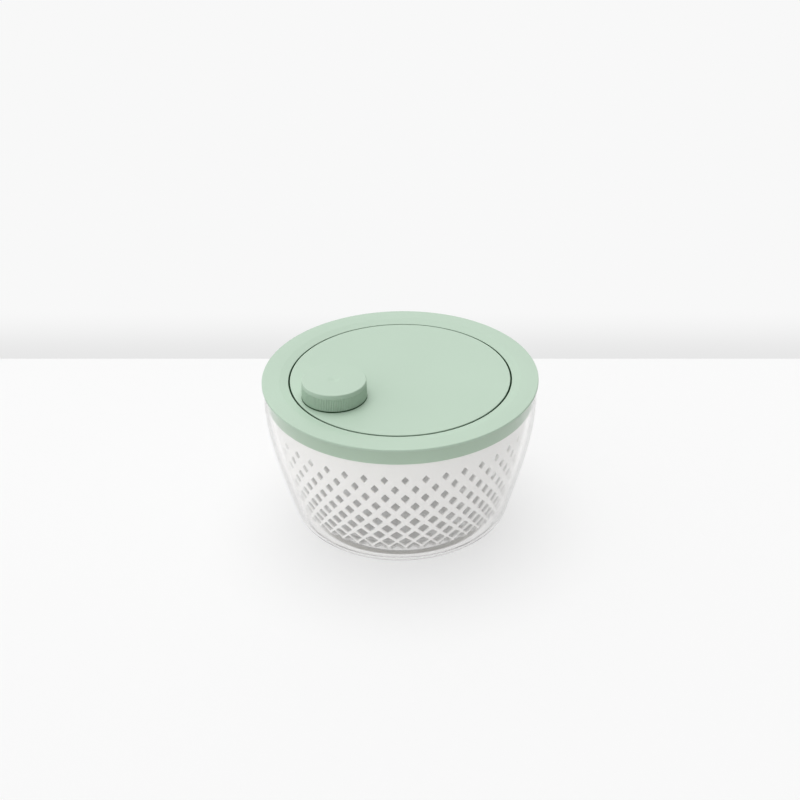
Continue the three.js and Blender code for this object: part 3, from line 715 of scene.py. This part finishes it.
# ---------- lid ----------
def make_lid_ring():
    under = LID_TOP - LID_WALL
    outline = filleted(
        [
            (LIP_R, LIP_LOW, 0.3),
            (WELL_R + LID_WALL, LIP_LOW, 0.3),
            (WELL_R + LID_WALL, under - 1, 0.8),
            (112, under, 0),
            (SKIRT_R - 2, under, 0.8),
            (SKIRT_R - 2, SKIRT_LOW, 0.6),
            (SKIRT_R, SKIRT_LOW, 0.6),
            (SKIRT_R, FLANGE_LOW, 0.5),
            (LID_R, FLANGE_LOW, 0.3),
            (LID_R, LID_TOP - 0.12, 0.8),
            (120, LID_TOP, 20),
            (113.5, LID_TOP - 0.1, 12),
            (WELL_R, 144.8, 0.4),
            (WELL_R, 140.4, 0),
            (LIP_R, LIP_LOW + 1, 0.3),
        ],
        6,
    )
    return place(finished("lid_flange", revolved(outline, 320), LID_PLASTIC), "lid", "lid_ring")


def make_crank_disc():
    outline = filleted(
        [
            (0, DISC_TOP - 2.3, 0),
            (DISC_R - 2, DISC_TOP - 2.3, 0.8),
            (DISC_R - 2, 136.8, 0.3),
            (104.1, 136.8, 0.3),
            (104.5, 138.1, 0.3),
            (DISC_R, 138.6, 0.3),
            (DISC_R, DISC_TOP, 0.6),
            (0, DISC_TOP, 0),
        ]
    )
    piece = finished("crank_disc_moulding", revolved(outline, 320), LID_PLASTIC)
    return place(piece, "crank", "crank_disc")


def make_gear_housing():
    outline = filleted(
        [
            (9.3, 129.3, 0.4),
            (97, 129.3, 0.8),
            (97, 131.6, 0.8),
            (107.2, 131.6, 1),
            (107.2, 136.7, 0.8),
            (119.8, 136.7, 0.5),
            (119.8, 138.7, 0.5),
            (105.2, 138.7, 0.3),
            (105.2, 133.6, 0.5),
            (95, 133.6, 0.5),
            (95, 131.3, 0.5),
            (9.3, 131.3, 0.4),
        ]
    )
    bosses = []
    for i in (1, 2, 3):
        at = middle(f"ring_gear_screw_{i}")
        boss = filleted([(0, 126.3, 0), (3.6, 126.3, 0.6), (3.6, 130, 0), (0, 130, 0)])
        bosses.append(revolved(boss, 32, axis=(at.x, at.y)))
    piece = finished("gear_tub", joined([revolved(outline, 240), *bosses]), WHITE_PLASTIC)
    return place(piece, "lid", "gear_housing")


def make_drive_plate():
    low, high = 122.5, 125
    radius = 117.2
    notch, depth = 2.2, 114.2  # a notch's half width and its floor
    edge = []
    for angle in around(8):
        half = math.asin(notch / radius)
        spin = Matrix.Rotation(angle, 2)
        edge += [tuple(spin @ Vector(p)) for p in ((depth, -notch), (depth, notch))]
        span = FULL_TURN / 8 - 2 * half
        for k in range(25):
            a = angle + half + span * k / 24
            edge.append((radius * math.cos(a), radius * math.sin(a)))
    body = plate([edge[2:] + edge[:2], circle(2.6, 32)], low, high, 0.5)
    half, rim, root = 0.9, 119.5, low + 0.5
    rings = []
    for r in (22, 68, 111.5):
        bead = [(r - half, rim, 0.6), (r + half, rim, 0.6), (r + half, root, 0), (r - half, root, 0)]
        rings.append(revolved(filleted(bead), 200))
    ribs = [block((88, 1.6, 3), (67, 0, 121.1), angle, 0.4) for angle in around(16, math.pi / 16)]
    piece = finished("drive_plate_moulding", joined([body, *rings, *ribs]), WHITE_PLASTIC)
    return place(piece, "drive", "drive_plate")


# ---------- knob ----------
KNOB_R = (corner("knob_cap", True) - corner("knob_cap", False)).x / 2
KNOB_RIBS = 120
RIB_DEPTH = 0.8
RIB_TOP = 159
DIMPLE = (6.5, 0.4)  # radius and half depth


def knob_grip(r, z, angle):
    """Fine upright ribs on the lower part of the knob's side."""
    if r < KNOB_R - 0.9 or z > RIB_TOP:
        return r
    fade = min(1, (RIB_TOP - z) / 0.7)
    valley = 1 - abs(math.sin(KNOB_RIBS / 2 * angle))
    return r - RIB_DEPTH * fade * valley


def make_knob():
    inner = KNOB_R - 2.2
    roof = KNOB_TOP - 2.4
    steps = 8
    dimple = []
    for k in range(steps + 1):
        depth = DIMPLE[1] * (1 + math.cos(math.pi * k / steps))
        dimple.append((DIMPLE[0] * k / steps, KNOB_TOP - depth, 0))
    outline = filleted(
        [
            (0, roof, 0),
            (inner, roof, 1),
            (inner, KNOB_LOW, 0.3),
            (KNOB_R, KNOB_LOW, 0.3),
            (KNOB_R - 0.1, 150, 0),
            (KNOB_R - 0.2, 154, 0),
            (KNOB_R - 0.25, RIB_TOP - 0.7, 0),
            (KNOB_R - 0.27, RIB_TOP, 0),
            (KNOB_R - 0.35, RIB_TOP + 1, 0),
            (KNOB_R - 0.45, KNOB_TOP, 0.9),
            *reversed(dimple),
        ],
        7,
    )
    mesh = revolved(outline, KNOB_RIBS * 8, knob_grip, axis=(KNOB_AXIS.x, KNOB_AXIS.y))
    return place(finished("knob_grip", mesh, LID_PLASTIC), "knob", "knob_cap")


# ---------- fasteners ----------
def make_screw(node, body, head_height, head_down):
    """A pan-head screw with a six-lobed socket, standing where the CAD screw stands."""
    low, high, at = corner(node, False), corner(node, True), middle(node)
    head_r = (high.x - low.x) / 2
    shank_r = head_r * 0.45
    length = high.z - low.z
    socket_r, socket_depth = head_r * 0.42, head_height * 0.55

    def lobes(r, z, angle):
        in_socket = r < socket_r * 1.02 and z < socket_depth + 0.01
        return r * (1 + 0.14 * math.cos(6 * angle)) if in_socket else r

    outline = filleted(
        [
            (0, socket_depth, 0),
            (socket_r * 0.9, socket_depth, 0),
            (socket_r, 0, 0),
            (head_r, 0, head_height * 0.45),
            (head_r, head_height, 0.1),
            (shank_r, head_height, 0),
            (shank_r, length - 0.6, 0),
            (shank_r * 0.6, length, 0),
            (0, length, 0),
        ],
        4,
    )
    mesh = revolved(outline, 48, lobes)
    if head_down:
        mesh.transform(Matrix.Translation((at.x * MM, at.y * MM, low.z * MM)))
    else:
        mesh.transform(Matrix.Rotation(math.pi, 4, "X"))
        mesh.transform(Matrix.Translation((at.x * MM, at.y * MM, high.z * MM)))
    return place(finished(f"{node}_turned", mesh, STEEL), body, node)


def make_screws():
    for i in range(1, 5):
        make_screw(f"lid_screw_{i}", "lid", 1.5, True)
    for i in range(1, 4):
        make_screw(f"ring_gear_screw_{i}", "lid", 1.6, False)
        make_screw(f"carrier_screw_{i}", "crank", 1.6, True)
    make_screw("knob_screw", "crank", 1.7, False)
    make_screw("drive_screw", "drive", 1.5, True)


# ---------- stage, light, camera ----------
SKY_LEVEL = 0.5
SKY_SLOPE = (-0.4, 0.05, 0.15)  # the sky is brighter to the left, behind and above
SUN_STRENGTH = 1.47
SUN_WIDTH = math.radians(50)
SUN_TRAVEL = Vector((0.03, -0.22, -1))
FLOOR_COLOR = (0.28, 0.28, 0.28)
FLOOR_GLOW = 0.635  # the floor is lit partly from below, so its shadows stay soft
# painted shadow: the floor glows less under the bowl, so it looks shaded there
GLOW_UNDER_BOWL = 0.24
GLOW_FADE = (0.054, 0.08)  # the radii between which the glow falls under the bowl
BACKDROP_Y = 0.2906
BACKDROP_TURN = -0.0328  # how far it comes forward per metre to the right
STAGE_REACH = 6
CAMERA_AIM = Vector((-0.0004, 0, 0.1204))
CAMERA_DISTANCE = 1.9324
CAMERA_ELEVATION = math.radians(30.8)
CAMERA_ROLL = math.radians(-0.93)
CAMERA_LENS = 91.9


def stage_material(name, color):
    nodes = Nodes(name)
    low = tuple(c * 0.995 for c in color)
    nodes.link(nodes.ramp(nodes.noise(3, 2), low, color), nodes.shader.inputs["Base Color"])
    nodes.set(Roughness=0.75, Specular_IOR_Level=0.25)
    return nodes


def backdrop_material():
    """A glowing backdrop, darkened softly towards the floor by painted shade. It lets a view from behind
    through.
    """
    nodes = Nodes("backdrop")
    cloud = nodes.ramp(nodes.noise(2, 1), 0.998, 1.0)
    # painted shade: the backdrop's glow fades towards the floor, where shade would gather
    fade = nodes.add("ShaderNodeValToRGB")
    fade.color_ramp.interpolation = "B_SPLINE"
    stops = ((0, 0.8), (0.012, 0.812), (0.03, 0.87), (0.052, 0.94), (0.065, 0.94))
    while len(fade.color_ramp.elements) < len(stops):
        fade.color_ramp.elements.new(0.5)
    for element, (where, level) in zip(fade.color_ramp.elements, stops):
        element.position = where
        element.color = (level, level, level, 1)
    nodes.link(nodes.height(), fade.inputs["Fac"])
    glow = nodes.add("ShaderNodeEmission")
    nodes.link(fade.outputs["Color"], glow.inputs["Color"])
    nodes.link(cloud, glow.inputs["Strength"])
    side = nodes.add("ShaderNodeNewGeometry")
    clear = nodes.add("ShaderNodeBsdfTransparent")
    seen = nodes.add("ShaderNodeMixShader")
    nodes.link(side.outputs["Backfacing"], seen.inputs["Fac"])
    nodes.link(glow.outputs["Emission"], seen.inputs[1])
    nodes.link(clear.outputs["BSDF"], seen.inputs[2])
    nodes.link(seen.outputs["Shader"], nodes.output.inputs["Surface"])
    return nodes.material


def make_stage():
    floor = bpy.data.meshes.new("floor")
    reach = STAGE_REACH
    square = [(-reach, -reach, 0), (reach, -reach, 0), (reach, reach, 0), (-reach, reach, 0)]
    floor.from_pydata(square, [], [(0, 1, 2, 3)])
    sheet = stage_material("floor", FLOOR_COLOR)
    sheet.set(Emission_Color=(1, 1, 1, 1))
    # painted shadow: less glow under the bowl darkens the floor there
    glow = sheet.ramp(sheet.radius(), GLOW_UNDER_BOWL, FLOOR_GLOW, *GLOW_FADE)
    sheet.link(glow, sheet.shader.inputs["Emission Strength"])
    floor.materials.append(sheet.material)
    wall = bpy.data.meshes.new("backdrop")
    ends = [(x, BACKDROP_Y + BACKDROP_TURN * x) for x in (-reach, reach)]
    corners = [(x, y, z) for (x, y), z in zip((*ends, *reversed(ends)), (0, 0, 1, 1))]
    wall.from_pydata(corners, [], [(0, 1, 2, 3)])
    wall.materials.append(backdrop_material())
    for mesh in (floor, wall):
        piece = bpy.data.objects.new(mesh.name, mesh)
        bpy.context.scene.collection.objects.link(piece)
    piece.visible_diffuse = False
    piece.visible_shadow = False


def make_light():
    world = bpy.data.worlds.new("studio")
    world.use_nodes = True
    nodes = world.node_tree.nodes
    links = world.node_tree.links
    direction = nodes.new("ShaderNodeTexCoord")
    slope = nodes.new("ShaderNodeVectorMath")
    slope.operation = "DOT_PRODUCT"
    slope.inputs[1].default_value = SKY_SLOPE
    level = nodes.new("ShaderNodeMath")
    level.inputs[1].default_value = SKY_LEVEL
    links.new(direction.outputs["Generated"], slope.inputs[0])
    links.new(slope.outputs["Value"], level.inputs[0])
    links.new(level.outputs["Value"], nodes["Background"].inputs["Strength"])
    nodes["Background"].inputs["Color"].default_value = (1, 1, 1, 1)
    bpy.context.scene.world = world

    light = bpy.data.lights.new("overhead", "SUN")
    light.energy = SUN_STRENGTH
    light.angle = SUN_WIDTH
    lamp = bpy.data.objects.new("overhead", light)
    lamp.rotation_mode = "QUATERNION"
    lamp.rotation_quaternion = SUN_TRAVEL.to_track_quat("-Z", "Y")
    bpy.context.scene.collection.objects.link(lamp)
    bpy.context.scene.view_settings.view_transform = "Standard"


def make_camera():
    camera = bpy.data.cameras.new("camera")
    camera.lens = CAMERA_LENS
    camera.sensor_width = 36
    holder = bpy.data.objects.new("camera", camera)
    back = Vector((0, -math.cos(CAMERA_ELEVATION), math.sin(CAMERA_ELEVATION)))
    holder.location = CAMERA_AIM + back * CAMERA_DISTANCE
    holder.rotation_mode = "QUATERNION"
    turn = (-back).to_track_quat("-Z", "Y")
    holder.rotation_quaternion = turn @ Matrix.Rotation(CAMERA_ROLL, 3, "Z").to_quaternion()
    bpy.context.scene.collection.objects.link(holder)
    bpy.context.scene.camera = holder


make_camera()
make_stage()
make_light()
finish_cad_nodes()
make_bowl()
make_foot_ring()
make_pivot()
make_bush()
make_basket()
make_lid_ring()
make_crank_disc()
make_gear_housing()
make_drive_plate()
make_knob()
make_screws()
